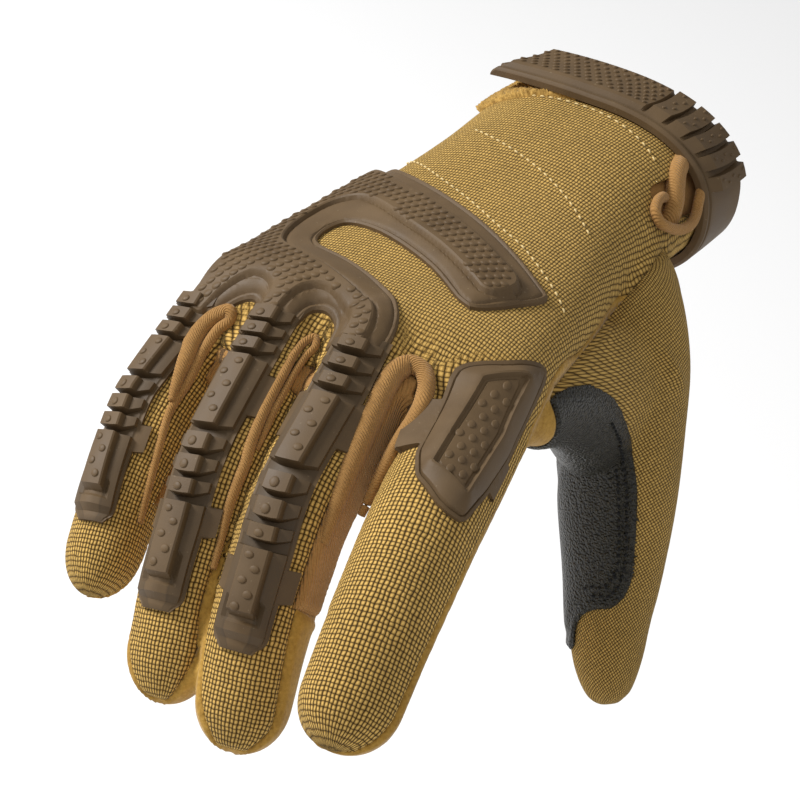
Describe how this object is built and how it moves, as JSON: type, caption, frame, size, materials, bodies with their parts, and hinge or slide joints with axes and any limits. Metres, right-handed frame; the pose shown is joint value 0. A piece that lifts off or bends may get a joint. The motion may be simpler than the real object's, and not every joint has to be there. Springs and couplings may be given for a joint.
{
  "type": "tactical glove",
  "caption": "Right-hand full-finger work glove in its worn form, with knit back, suede palm, moulded knuckle and finger guards and a wrist strap.",
  "frame": {"origin": "centre of the wrist opening, in the plane of the cuff's mouth", "axes": "+Y out of the wrist opening, fingers along -Y, thumb side +X, back of the hand +Z"},
  "size_m": [0.1193, 0.2288, 0.1242],
  "materials": {
    "knit_fabric": "matte",
    "suede": "matte",
    "stretch_trim": "matte",
    "guard_rubber": "satin",
    "grip_leather": "satin",
    "hook_loop": "matte"
  },
  "bodies": {
    "root": {"back_panel": "knit_fabric", "thumb_shell": "knit_fabric", "palm_panel": "suede", "fourchette_index_middle": "stretch_trim", "fourchette_middle_ring": "stretch_trim", "fourchette_ring_pinky": "stretch_trim", "knuckle_guard": "guard_rubber", "index_guard": "guard_rubber", "thumb_patch": "grip_leather", "wrist_strap": "guard_rubber", "hook_patch": "hook_loop", "slit_binding": "stretch_trim"}
  },
  "joints": []
}
